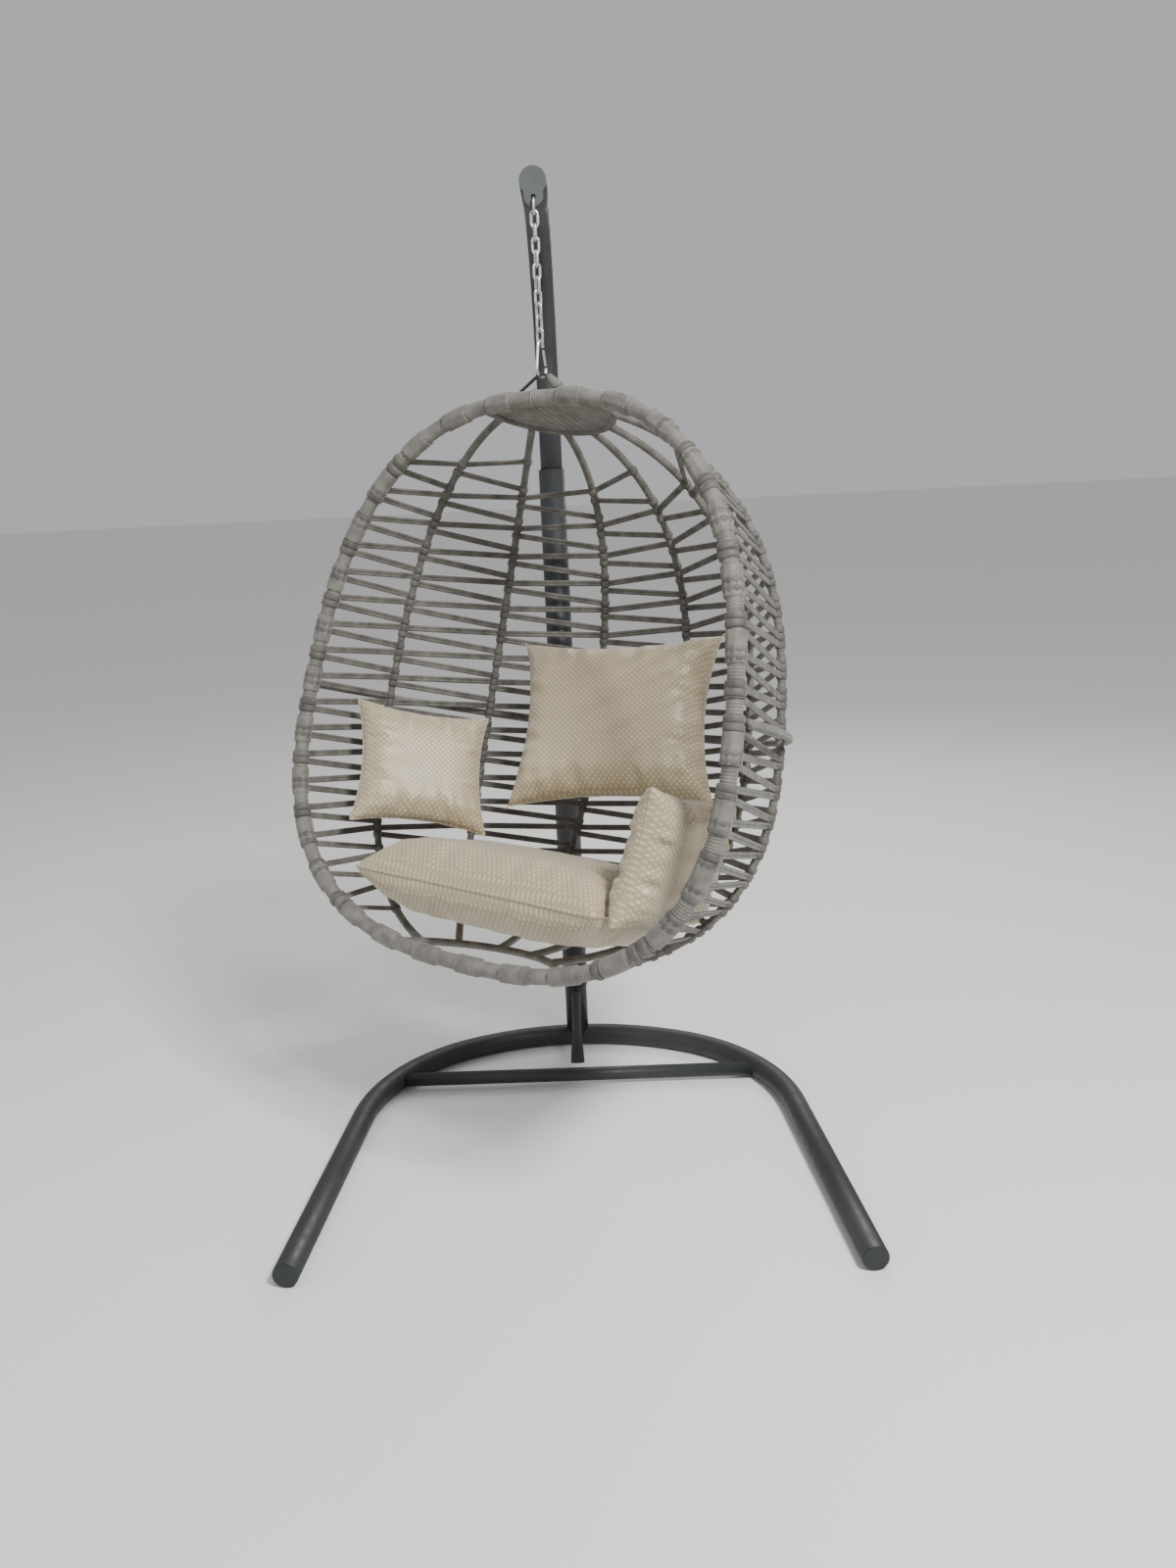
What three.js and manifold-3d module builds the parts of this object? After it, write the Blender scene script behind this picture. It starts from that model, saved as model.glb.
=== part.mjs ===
// Hanging egg chair: a bent-tube stand with a curved pole, a short zinc chain and a
// snap hook, and an open egg-shaped basket of rods and flat cord with four cushions.
// Millimetres. The floor is z = 0, the stand is symmetric about x = 0, the pole stands
// on the origin and the chair hangs in front of it, towards -y.
import * as THREE from 'three';
import Module from 'manifold-3d';
import { mergeVertices } from 'three/addons/utils/BufferGeometryUtils.js';

const wasm = await Module();
wasm.setup();

const { PI, cos, sin, abs, sign, sqrt } = Math;
const V = (x, y, z) => new THREE.Vector3(x, y, z);
const UP = V(0, 0, 1);
const rad = THREE.MathUtils.degToRad;

// ---- driving dimensions -------------------------------------------------------------

const GAP = 0.3;                      // clearance between pieces that touch

// Floor arch and post
const BASE_RADIUS = 25;               // base tube, 50 mm across
const BASE_WALL = 2;
const FOOT_X = 539;                   // foot centres, half their distance apart
const FOOT_Y = -948;                  // how far the feet reach in front of the pole
const REAR_RADIUS = 620;              // long sweep behind the pole
const REAR_ANGLE = rad(25);           // half of that sweep
const BEND_RADIUS = 400;              // the two bends between sweep and legs
const LEG_SPLAY = rad(5);             // the legs open outwards
const CROSSBAR_RADIUS = 16;
const CROSSBAR_Y = -217;
const POST_RADIUS = 27.5;
const POST_TOP = 330;
const POST_WALL = 2.5;
const BRACE_RADIUS = 11;
const BRACE_FOOT = [17, 4];           // half width and half thickness where it is flattened

// Pole
const POLE_LOWER_RADIUS = 30;
const POLE_LOWER_FOOT = 165;          // where the lower tube starts on the post
const POLE_LOWER_TOP = 1443;
const POLE_UPPER_RADIUS = 25;
const POLE_UPPER_FOOT = 1300;         // hidden end of the upper tube inside the lower one
const POLE_BEND_RADIUS = 330;
const POLE_TOP = 1947.5;              // axis height of the forward end
const POLE_UPPER_WALL = 2;
const OVERHANG = 500;                 // from the pole's axis to the chain
const BUSH_LENGTH = 58;
const PLATE_HALF = 2;                 // half the thickness of the plate on the pole's end
const TONGUE = 18;                    // half width of the tongue below that plate

// Bolt through the lower tube and the post
const BOLT_RADIUS = 4;
const BOLT_Z = POLE_LOWER_FOOT + 22;
const BOLT_HEAD = 7.5;                // across the corners, halved
const BOLT_HEAD_HEIGHT = 6;
const BOLT_SEAT = POLE_LOWER_RADIUS + GAP;

// Chain and snap hook
const WIRE = 2.5;                     // chain wire radius
const LINK_BOW = 6.5;                 // centreline radius of a link's end
const LINK_PITCH = 22.5;
const LINK_COUNT = 10;                // links below the top one
const LINK_TWIST = rad(5.4);          // each link is turned this far on the one above
const TOP_LINK_BOW = 9.5;
const TOP_LINK_HALF = 13.75;
const EYE_RADIUS = 4.5;               // hole in the end plate
const HOOK_WIRE = 3;
const HOOK_LENGTH = 64;               // between the centrelines of the two bows
const HOOK_NARROW = 7;
const HOOK_WIDE = 14;
const GATE_RADIUS = 2.4;

// Egg-shaped basket, in its own upright frame: x across, y into the egg, z up the rim
const RIM_HALF_WIDTH = 500;
const RIM_HALF_HEIGHT = 532;
const EGG_DEPTH = 620;
const RIM_TAPER = 0.11;               // narrower towards the top
const DEPTH_TAPER = 0.08;
const EGG_POWER = 2.6;                // 2 would be an ellipse
const EGG_LEAN = rad(17.5);           // the basket leans back
const EGG_TURN = rad(-36);            // and is turned on its chain
const EGG_SET_FORWARD = 181;          // rim centre in front of the chain
const EGG_HEIGHT = 1062;              // rim centre above the floor
const RIM_TUBE = 12.5;
const RIM_WRAP = 16;
const ROD = 8;                        // wrapped rods of the basket
const RIB_AZIMUTHS = [29.5, 60, 85, 110, 136.7, 160.5].map(rad);
const CROWN_LEVEL = 0.983;            // the bars above and below, as a share of the half height
const BELT_LEVEL = -0.068;
const WEAVE_LEVEL = 0.905;            // how near the crown and the bottom the lacing runs
const CORD_WIDTH = 10.5;
const CORD_THICK = 2.6;
const CORD_PITCH = 56;                // one level strand and one slanting strand
const CORD_CLEAR = 1.5;               // between a turn of the cord and the rod beside it
const CORD_TURN = CORD_WIDTH + 3;     // height of a turn between two strands

// ---- materials ----------------------------------------------------------------------

const material = (color, roughness, metalness) => ({ color, roughness, metalness });
const POWDER_BLACK = material(0x2a2c2e, 0.55, 0.3);
const POWDER_GREEN_GREY = material(0x7d857c, 0.6, 0.2);
const PLASTIC_BLACK = material(0x1d2422, 0.6, 0);
const ZINC = material(0xd4d6d2, 0.3, 1);
const CORD_TAUPE = material(0x8f877b, 0.7, 0);
const CORD_PALE = material(0xb8b0a2, 0.65, 0);
const SATIN_CREAM = material(0xd9cdaa, 0.45, 0);

const mesh = (name, geometry, look) => {
  const piece = new THREE.Mesh(geometry, new THREE.MeshStandardMaterial(look));
  piece.name = name;
  return piece;
};

const group = (name, ...children) => {
  const holder = new THREE.Group();
  holder.name = name;
  holder.add(...children);
  return holder;
};

// ---- shape helpers ------------------------------------------------------------------

// A closed solid skinned over rings of points. Every ring has the same number of points,
// counter-clockwise seen from the far end. A closed row joins its last ring to its first.
function skin(rings, closed = false) {
  const sides = rings[0].length;
  const points = rings.flat();
  const faces = [];
  const joins = closed ? rings.length : rings.length - 1;
  for (let i = 0; i < joins; i++) {
    const here = i * sides;
    const next = ((i + 1) % rings.length) * sides;
    for (let j = 0; j < sides; j++) {
      const k = (j + 1) % sides;
      faces.push(here + j, here + k, next + k, here + j, next + k, next + j);
    }
  }
  if (!closed) {
    for (const [start, flip] of [[0, true], [(rings.length - 1) * sides, false]]) {
      const centre = V(0, 0, 0);
      for (let j = 0; j < sides; j++) centre.add(points[start + j]);
      const hub = points.push(centre.divideScalar(sides)) - 1;
      for (let j = 0; j < sides; j++) {
        const a = start + j;
        const b = start + (j + 1) % sides;
        faces.push(hub, flip ? b : a, flip ? a : b);
      }
    }
  }
  const geometry = new THREE.BufferGeometry().setFromPoints(points);
  geometry.setIndex(faces);
  geometry.computeVertexNormals();
  return geometry;
}

// Directions of travel at each point of a path.
function headings(path, closed) {
  const last = path.length - 1;
  return path.map((point, i) => {
    const before = closed ? path[(i + last) % path.length] : path[Math.max(i - 1, 0)];
    const after = closed ? path[(i + 1) % path.length] : path[Math.min(i + 1, last)];
    return after.clone().sub(before).normalize();
  });
}

// Round rings along a path that never runs along `across`.
function roundRings(path, radius, sides, across, closed = false) {
  const travel = headings(path, closed);
  return path.map((point, i) => {
    const right = across.clone().cross(travel[i]).normalize();
    const up = travel[i].clone().cross(right);
    return Array.from({ length: sides }, (_, j) => {
      const angle = (2 * PI * (j + 0.5)) / sides;
      return point.clone()
        .addScaledVector(right, radius * cos(angle))
        .addScaledVector(up, radius * sin(angle));
    });
  });
}

const rod = (path, radius, sides, across = UP) =>
  skin(roundRings(path, radius, sides, across));

const ring = (path, radius, sides, across) =>
  skin(roundRings(path, radius, sides, across, true), true);

function pipe(path, outer, inner, sides, across = UP) {
  const outside = roundRings(path, outer, sides, across);
  const inside = roundRings(path, inner, sides, across).reverse();
  return skin([...outside, ...inside], true);
}

// Points on an arc about `centre`, from `from` to `to`, in the plane of two unit vectors.
function arc(centre, radius, from, to, steps, u, v) {
  return Array.from({ length: steps + 1 }, (_, i) => {
    const angle = from + ((to - from) * i) / steps;
    return centre.clone()
      .addScaledVector(u, radius * cos(angle))
      .addScaledVector(v, radius * sin(angle));
  });
}

const circle = (radius, sides) =>
  Array.from({ length: sides }, (_, i) => {
    const angle = (2 * PI * (i + 0.5)) / sides;
    return [radius * cos(angle), radius * sin(angle)];
  });

function toSolid(geometry) {
  const plain = new THREE.BufferGeometry();
  plain.setAttribute('position', geometry.getAttribute('position').clone());
  plain.setIndex(geometry.getIndex());
  const welded = mergeVertices(plain, 1e-4);
  return new wasm.Manifold(new wasm.Mesh({
    numProp: 3,
    vertProperties: new Float32Array(welded.getAttribute('position').array),
    triVerts: new Uint32Array(welded.getIndex().array),
  }));
}

function fromSolid(solid) {
  const result = solid.getMesh();
  const geometry = new THREE.BufferGeometry();
  geometry.setAttribute('position', new THREE.BufferAttribute(result.vertProperties, 3));
  geometry.setIndex(new THREE.BufferAttribute(result.triVerts, 1));
  geometry.computeVertexNormals();
  return geometry;
}

const cut = (geometry, ...tools) =>
  fromSolid(tools.reduce((body, tool) => body.subtract(toSolid(tool)), toSolid(geometry)));

const fuse = (geometry, ...others) =>
  fromSolid(others.reduce((body, other) => body.add(toSolid(other)), toSolid(geometry)));

// ---- stand --------------------------------------------------------------------------

// Centreline of the floor arch, from the left foot round the back to the right foot.
function archPath(z) {
  const bendStart = REAR_ANGLE;
  const bendEnd = PI / 2 - LEG_SPLAY;
  const rearCentre = V(0, -REAR_RADIUS, z);
  const bendCentre = V(
    (REAR_RADIUS - BEND_RADIUS) * sin(bendStart),
    -REAR_RADIUS + (REAR_RADIUS - BEND_RADIUS) * cos(bendStart),
    z,
  );
  const right = V(1, 0, 0);
  const back = V(0, 1, 0);
  const rear = arc(rearCentre, REAR_RADIUS, 0, bendStart, 5, back, right);
  const bend = arc(bendCentre, BEND_RADIUS, bendStart, bendEnd, 7, back, right);
  const half = [...rear, ...bend.slice(1), V(FOOT_X, FOOT_Y, z)];
  const mirrored = half.slice(1).map((p) => V(-p.x, p.y, p.z)).reverse();
  return [...mirrored, ...half];
}

// Where the arch's centreline crosses a given y, on the right-hand bend.
function archHalfWidthAt(y) {
  const centreX = (REAR_RADIUS - BEND_RADIUS) * sin(REAR_ANGLE);
  const centreY = -REAR_RADIUS + (REAR_RADIUS - BEND_RADIUS) * cos(REAR_ANGLE);
  return centreX + sqrt(BEND_RADIUS ** 2 - (y - centreY) ** 2);
}

const ARCH_SIDES = 16;
const flatRadius = (inradius, sides) => inradius / cos(PI / sides);

function baseTube() {
  const outer = flatRadius(BASE_RADIUS, ARCH_SIDES);
  const inner = flatRadius(BASE_RADIUS - BASE_WALL, ARCH_SIDES);
  return mesh('base_tube', pipe(archPath(BASE_RADIUS), outer, inner, ARCH_SIDES), POWDER_BLACK);
}

function endCap(name, side) {
  const plug = 18;
  const flange = 4;
  const bore = BASE_RADIUS - BASE_WALL - GAP;
  const profile = [
    [-plug, bore], [-GAP, bore], [-GAP, BASE_RADIUS - GAP], [flange - 1.5, BASE_RADIUS - GAP],
    [flange, BASE_RADIUS - 3], [flange, BASE_RADIUS - 9],
  ];
  const rings = profile.map(([x, r]) => circle(r, 20).map(([y, z]) => V(x, y, z)));
  const cap = mesh(name, skin(rings), PLASTIC_BLACK);
  const knee = archPath(0).at(-2);
  const leg = V(FOOT_X, FOOT_Y, 0).sub(knee).normalize();
  cap.position.set(side * FOOT_X, FOOT_Y, BASE_RADIUS);
  cap.position.x += side * leg.x * GAP;
  cap.position.y += leg.y * GAP;
  cap.rotation.z = Math.atan2(leg.y, side * leg.x);
  return cap;
}

// The floor tube with its clearance, to cut the ends that are welded to it.
const archSaddle = () =>
  rod(archPath(BASE_RADIUS), flatRadius(BASE_RADIUS + GAP, ARCH_SIDES), ARCH_SIDES);

function crossbar() {
  const half = archHalfWidthAt(CROSSBAR_Y);
  const bar = rod([V(-half, CROSSBAR_Y, BASE_RADIUS), V(half, CROSSBAR_Y, BASE_RADIUS)],
    CROSSBAR_RADIUS, 16);
  return mesh('crossbar', cut(bar, archSaddle()), POWDER_BLACK);
}

function post() {
  const tube = pipe([V(0, 0, BASE_RADIUS), V(0, 0, POST_TOP)],
    POST_RADIUS, POST_RADIUS - POST_WALL, 20, V(1, 0, 0));
  return mesh('post', cut(tube, archSaddle(), boltHole()), POWDER_BLACK);
}

// A round bar along x at the bolt's height, for the bolt and for the holes it passes.
const boltBar = (from, to, radius, sides) =>
  rod([V(from, 0, BOLT_Z), V(to, 0, BOLT_Z)], radius, sides);

const boltHole = () => boltBar(-2 * POLE_LOWER_RADIUS, 2 * POLE_LOWER_RADIUS, BOLT_RADIUS + GAP, 12);

function poleBolt() {
  const shank = boltBar(-BOLT_SEAT - BOLT_HEAD_HEIGHT / 2, BOLT_SEAT + 1.5 * BOLT_HEAD_HEIGHT,
    BOLT_RADIUS, 12);
  const head = boltBar(-BOLT_SEAT - BOLT_HEAD_HEIGHT, -BOLT_SEAT, BOLT_HEAD, 6);
  return mesh('pole_bolt', fuse(shank, head), ZINC);
}

function poleNut() {
  const hexagon = boltBar(BOLT_SEAT, BOLT_SEAT + BOLT_HEAD_HEIGHT, BOLT_HEAD, 6);
  return mesh('pole_nut', cut(hexagon, boltHole()), ZINC);
}

function poleLower() {
  const tube = pipe([V(0, 0, POLE_LOWER_FOOT), V(0, 0, POLE_LOWER_TOP)],
    POLE_LOWER_RADIUS, POST_RADIUS + GAP, 20, V(1, 0, 0));
  return mesh('pole_lower', cut(tube, boltHole()), POWDER_BLACK);
}

// A ring that takes up the play between the two pole tubes at their joint.
function poleBush() {
  const inner = flatRadius(POLE_UPPER_RADIUS + GAP, 20);
  const top = POLE_LOWER_TOP - 2;
  return mesh('pole_bush', pipe([V(0, 0, top - BUSH_LENGTH), V(0, 0, top)],
    POST_RADIUS, inner, 20, V(1, 0, 0)), PLASTIC_BLACK);
}

function poleUpper() {
  const bendStart = POLE_TOP - POLE_BEND_RADIUS;
  const centre = V(0, -POLE_BEND_RADIUS, bendStart);
  const bend = arc(centre, POLE_BEND_RADIUS, 0, PI / 2, 10, V(0, 1, 0), UP);
  const path = [V(0, 0, POLE_UPPER_FOOT), ...bend, V(0, -OVERHANG + PLATE_HALF + GAP, POLE_TOP)];
  return mesh('pole_upper',
    pipe(path, POLE_UPPER_RADIUS, POLE_UPPER_RADIUS - POLE_UPPER_WALL, 20, V(1, 0, 0)), POWDER_BLACK);
}

// A strut from the front of the lower tube down to the crossbar, flattened at its foot.
function brace() {
  const top = V(0, -POST_RADIUS - BRACE_RADIUS - GAP - 1, POLE_LOWER_FOOT - 12);
  const foot = V(0, CROSSBAR_Y + CROSSBAR_RADIUS + 6, BASE_RADIUS + CROSSBAR_RADIUS + 3);
  const along = foot.clone().sub(top).normalize();
  const right = V(1, 0, 0);
  const up = along.clone().cross(right);
  const round = [BRACE_RADIUS, BRACE_RADIUS];
  const stations = [[0, ...round], [0.62, ...round], [0.8, 15, 6], [1, ...BRACE_FOOT]];
  const rings = stations.map(([share, wide, thick]) => circle(1, 16).map(([u, w]) =>
    top.clone().lerp(foot, share).addScaledVector(right, wide * u).addScaledVector(up, thick * w)));
  return mesh('brace', skin(rings), POWDER_BLACK);
}

// ---- end plate, chain and snap hook -------------------------------------------------

const TOP_BOW_Z = POLE_TOP - POLE_UPPER_RADIUS - 1.2 - WIRE - TOP_LINK_BOW;
const EYE_Z = TOP_BOW_Z + TOP_LINK_BOW - WIRE - 0.7 + EYE_RADIUS;

// The plate that closes the pole: a disc with a rounded tongue below it for the eye.
function endPlate() {
  const shape = new THREE.Shape();
  const drop = EYE_Z - POLE_TOP + 2;
  const side = Math.acos(TONGUE / POLE_UPPER_RADIUS);
  shape.absarc(0, 0, POLE_UPPER_RADIUS, -side, PI + side, false);
  shape.lineTo(-TONGUE, drop);
  shape.absarc(0, drop, TONGUE, PI, 2 * PI, false);
  shape.closePath();
  const eye = new THREE.Path();
  eye.absarc(0, EYE_Z - POLE_TOP, EYE_RADIUS, 0, 2 * PI, true);
  shape.holes.push(eye);
  const plate = new THREE.ExtrudeGeometry(shape,
    { depth: 2 * PLATE_HALF, bevelEnabled: false, curveSegments: 16 });
  const piece = mesh('end_plate', plate, POWDER_GREEN_GREY);
  piece.position.set(0, -OVERHANG + PLATE_HALF, POLE_TOP);
  piece.rotation.x = PI / 2;
  return piece;
}

// A closed oval link in the plane of `side` and z, centred on its own origin.
function link(name, bow, half, side) {
  const straight = half - bow;
  const path = [
    ...arc(V(0, 0, straight), bow, 0, PI, 6, side, UP),
    ...arc(V(0, 0, -straight), bow, PI, 2 * PI, 6, side, UP),
  ];
  return mesh(name, ring(path, WIRE, 6, side.clone().cross(UP)), ZINC);
}

const STEP = 2 * WIRE + GAP;                       // one wire resting on the next
const LINK_HALF = (LINK_PITCH + STEP) / 2;
const TOP_LINK_Z = TOP_BOW_Z + TOP_LINK_BOW - TOP_LINK_HALF;
const FIRST_LINK_Z = TOP_LINK_Z - TOP_LINK_HALF + STEP - LINK_HALF;
const LAST_LINK_Z = FIRST_LINK_Z - (LINK_COUNT - 1) * LINK_PITCH;

function chain() {
  const top = link('chain_link_00', TOP_LINK_BOW, TOP_LINK_HALF, V(0, 1, 0));
  top.position.set(0, -OVERHANG, TOP_LINK_Z);
  const links = [top];
  for (let i = 1; i <= LINK_COUNT; i++) {
    const piece = link(`chain_link_${String(i).padStart(2, '0')}`, LINK_BOW, LINK_HALF, V(1, 0, 0));
    piece.position.set(0, -OVERHANG, FIRST_LINK_Z - (i - 1) * LINK_PITCH);
    piece.rotation.z = ((i - 1) * PI) / 2 + i * LINK_TWIST;
    links.push(piece);
  }
  return links;
}

// The snap hook hangs across the last link, narrow end up. Its gate is the straight
// right-hand side, hinged near the narrow end and opening inwards.
const HOOK_TOP_Z = LAST_LINK_Z - LINK_HALF + WIRE + HOOK_WIRE + GAP;
const HOOK_BOTTOM_Z = HOOK_TOP_Z - HOOK_LENGTH;
const GATE_LOW = V(HOOK_WIDE - 0.6, 0, HOOK_WIDE + 6);
const GATE_HIGH = V(HOOK_NARROW + 1.2, 0, HOOK_LENGTH - HOOK_NARROW - 9);

function snapHook() {
  const side = V(1, 0, 0);
  const lowCentre = V(0, 0, HOOK_WIDE);
  const highCentre = V(0, 0, HOOK_LENGTH - HOOK_NARROW);
  const path = [
    GATE_LOW.clone().add(V(0.4, 0, -3.6)),
    ...arc(lowCentre, HOOK_WIDE, 0, -PI, 8, side, UP),
    ...arc(highCentre, HOOK_NARROW, PI, 0, 6, side, UP),
    GATE_HIGH.clone().add(V(-0.5, 0, 4)),
  ];
  const body = mesh('hook_body', rod(path, HOOK_WIRE, 8, V(0, 1, 0)), ZINC);
  const gate = mesh('hook_gate', rod([GATE_LOW, GATE_HIGH], GATE_RADIUS, 8, V(0, 1, 0)), ZINC);
  const hook = group('snap_hook', body, gate);
  hook.position.set(0, -OVERHANG, HOOK_BOTTOM_Z);
  hook.rotation.z = EGG_TURN + PI / 2;
  return hook;
}

// ---- egg-shaped basket --------------------------------------------------------------

const bulge = (level) => (1 - abs(level) ** EGG_POWER) ** (1 / EGG_POWER);

// A point on the basket: azimuth 0 is the rim on the right, 90 degrees the back and
// 180 the rim on the left; level runs from -1 at the bottom to 1 at the top.
function shell(azimuth, level, outwards = 0) {
  const across = RIM_HALF_WIDTH * bulge(level) * (1 - RIM_TAPER * level) + outwards;
  const deep = EGG_DEPTH * bulge(level) * (1 - DEPTH_TAPER * level) + outwards;
  return V(across * cos(azimuth), deep * sin(azimuth), RIM_HALF_HEIGHT * level);
}

// The basket's outward direction, square to its surface.
function outwardAt(azimuth, level) {
  const nudge = 0.01;
  const round = shell(azimuth + nudge, level).sub(shell(azimuth - nudge, level));
  const upwards = shell(azimuth, level + nudge).sub(shell(azimuth, level - nudge));
  return round.cross(upwards).normalize();
}

// Levels between two limits, closer together near the top and bottom.
function levels(from, to, steps) {
  const start = Math.asin(from);
  const end = Math.asin(to);
  return Array.from({ length: steps + 1 }, (_, i) => sin(start + ((end - start) * i) / steps));
}

// The rim's centreline from one angle to another, 0 at the top and a full turn clockwise.
function rimPath(from, to, steps) {
  return Array.from({ length: steps + 1 }, (_, i) => {
    const angle = from + ((to - from) * i) / steps;
    const level = sign(cos(angle)) * abs(cos(angle)) ** (2 / EGG_POWER);
    const reach = sign(sin(angle)) * abs(sin(angle)) ** (2 / EGG_POWER);
    return V(RIM_HALF_WIDTH * reach * (1 - RIM_TAPER * level), 0, RIM_HALF_HEIGHT * level);
  });
}

function rimTube() {
  const path = rimPath(0, 2 * PI, 64).slice(1);
  return mesh('rim_tube', ring(path, RIM_TUBE, 8, V(0, 1, 0)), POWDER_BLACK);
}

function rimWraps() {
  const names = ['rim_wrap_upper_right', 'rim_wrap_lower_right',
    'rim_wrap_lower_left', 'rim_wrap_upper_left'];
  const slit = 0.001;
  return names.map((name, i) => {
    const path = rimPath((i * PI) / 2 + slit, ((i + 1) * PI) / 2 - slit, 16);
    return mesh(name, pipe(path, RIM_WRAP, RIM_TUBE + 2 * GAP, 8, V(0, 1, 0)), CORD_PALE);
  });
}

// Shortens a path at its start by a length measured along it.
function trimStart(path, length) {
  let left = length;
  for (let i = 1; i < path.length; i++) {
    const step = path[i].distanceTo(path[i - 1]);
    if (step > left) {
      const start = path[i - 1].clone().lerp(path[i], left / step);
      const rest = path.slice(step - left < 2 ? i + 1 : i);
      return [start, ...rest];
    }
    left -= step;
  }
  return path;
}

const trimBoth = (path, length) =>
  trimStart(trimStart(path, length).reverse(), length).reverse();

// A rod round the back of the egg at one level, from the rim to the rim.
function bar(name, level, steps, outwards = 0) {
  const path = Array.from({ length: steps + 1 }, (_, i) =>
    shell((PI * i) / steps, level, outwards));
  return mesh(name, rod(trimBoth(path, RIM_WRAP + 4), ROD, 7), CORD_TAUPE);
}

function rib(index) {
  const path = levels(-CROWN_LEVEL, CROWN_LEVEL, 24)
    .map((level) => shell(RIB_AZIMUTHS[index], level));
  return mesh(`rib_${index + 1}`, rod(trimBoth(path, ROD + 5), ROD, 7, V(1, 0, 0)), CORD_TAUPE);
}

// One cord laced up the space between two uprights: level strand, slanting strand.
function weave(index) {
  const edges = [0, ...RIB_AZIMUTHS, PI];
  const from = edges[index];
  const to = edges[index + 1];
  const stop = (azimuth, level, along) => {
    const upright = shell(azimuth, level + 0.01).sub(shell(azimuth, level - 0.01)).normalize();
    const beside = CORD_WIDTH / 2 + (azimuth % PI === 0 ? RIM_WRAP : ROD) + CORD_CLEAR;
    return beside / upright.cross(along).length();
  };
  const lowest = -RIM_HALF_HEIGHT * WEAVE_LEVEL;
  const rows = Math.floor((-2 * lowest) / CORD_PITCH);
  const path = [];
  const strand = (zFrom, zTo, forward) => {
    const a = shell(from, zFrom / RIM_HALF_HEIGHT);
    const b = shell(to, zTo / RIM_HALF_HEIGHT);
    const along = b.clone().sub(a).normalize();
    a.addScaledVector(along, stop(from, zFrom / RIM_HALF_HEIGHT, along));
    b.addScaledVector(along, -stop(to, zTo / RIM_HALF_HEIGHT, along));
    path.push(...(forward ? [a, b] : [b, a]));
  };
  const offset = (index % 2) * CORD_PITCH / 2;
  for (let i = 0; i < rows; i++) {
    const z = lowest + offset + i * CORD_PITCH;
    strand(z, z, true);
    strand(z + CORD_PITCH - CORD_TURN, z + CORD_TURN, false);
  }
  return mesh(`weave_${index + 1}`, ribbon(path, (from + to) / 2), CORD_TAUPE);
}

// A flat cord along a path in one bay of the basket. It lies flat on the surface as that
// faces at the middle of the bay, so a strand doesn't twist between its two rods, and its
// corners are mitred.
function ribbon(path, azimuth) {
  const last = path.length - 1;
  const rings = path.map((point, i) => {
    const outward = outwardAt(azimuth, point.z / RIM_HALF_HEIGHT);
    const flat = (from, to) => to.clone().sub(from).projectOnPlane(outward).normalize();
    const before = flat(path[Math.max(i - 1, 0)], path[Math.max(i, 1)]);
    const after = flat(path[Math.min(i, last - 1)], path[Math.min(i + 1, last)]);
    const middle = before.clone().add(after).normalize();
    const side = outward.clone().cross(middle);
    const reach = CORD_WIDTH / 2 / middle.dot(before);
    return [[-1, -1], [1, -1], [1, 1], [-1, 1]].map(([u, w]) => point.clone()
      .addScaledVector(side, u * reach)
      .addScaledVector(outward, (w * CORD_THICK) / 2));
  });
  return skin(rings);
}

// Cord laid side by side over the crown, from the rim back to the crown bar.
function canopy() {
  const steps = 12;
  const rings = Array.from({ length: steps + 1 }, (_, i) => {
    const share = -0.85 + (1.7 * i) / steps;
    const rear = shell(PI / 2 - share * rad(70), CROWN_LEVEL, -ROD - 3);
    const front = V(rear.x * 0.97, 0, RIM_HALF_HEIGHT * (1 - 0.006 * share * share));
    const along = rear.clone().sub(front).normalize();
    front.addScaledVector(along, RIM_WRAP + 3);
    const lift = V(0, 0, 2.5);
    return [rear.clone().sub(lift), rear.clone().add(lift), front.clone().add(lift),
      front.clone().sub(lift)];
  });
  return mesh('canopy', skin(rings), CORD_TAUPE);
}

const inEggFrame = (...pieces) => {
  const frame = group('basket', ...pieces);
  frame.position.set(0, -EGG_SET_FORWARD, EGG_HEIGHT);
  frame.rotation.x = -EGG_LEAN;
  return frame;
};

// ---- hanger on the basket -----------------------------------------------------------

const RIM_TOP_Y = RIM_HALF_HEIGHT * sin(EGG_LEAN) - EGG_SET_FORWARD;
const RIM_TOP_Z = EGG_HEIGHT + RIM_HALF_HEIGHT * cos(EGG_LEAN);
const HANGER_APEX_Z = HOOK_BOTTOM_Z + 2 * HOOK_WIRE + GAP;
const HANGER_FOOT = V(46, RIM_TOP_Y + 13, RIM_TOP_Z + 15.5);
const HANGER_BEND = V(7, 0, HANGER_APEX_Z - 2.2);  // where each leg leaves the hook

function hanger() {
  const apex = V(0, 0, HANGER_APEX_Z);
  const bend = (side) => V(side * HANGER_BEND.x, 0, HANGER_BEND.z);
  const foot = (side) => V(side * HANGER_FOOT.x, HANGER_FOOT.y, HANGER_FOOT.z);
  const path = [foot(-1), bend(-1), apex, bend(1), foot(1)];
  return mesh('hanger', rod(path, HOOK_WIRE, 8, V(0, 1, 0)), POWDER_BLACK);
}

// ---- cushions -----------------------------------------------------------------------

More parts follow.
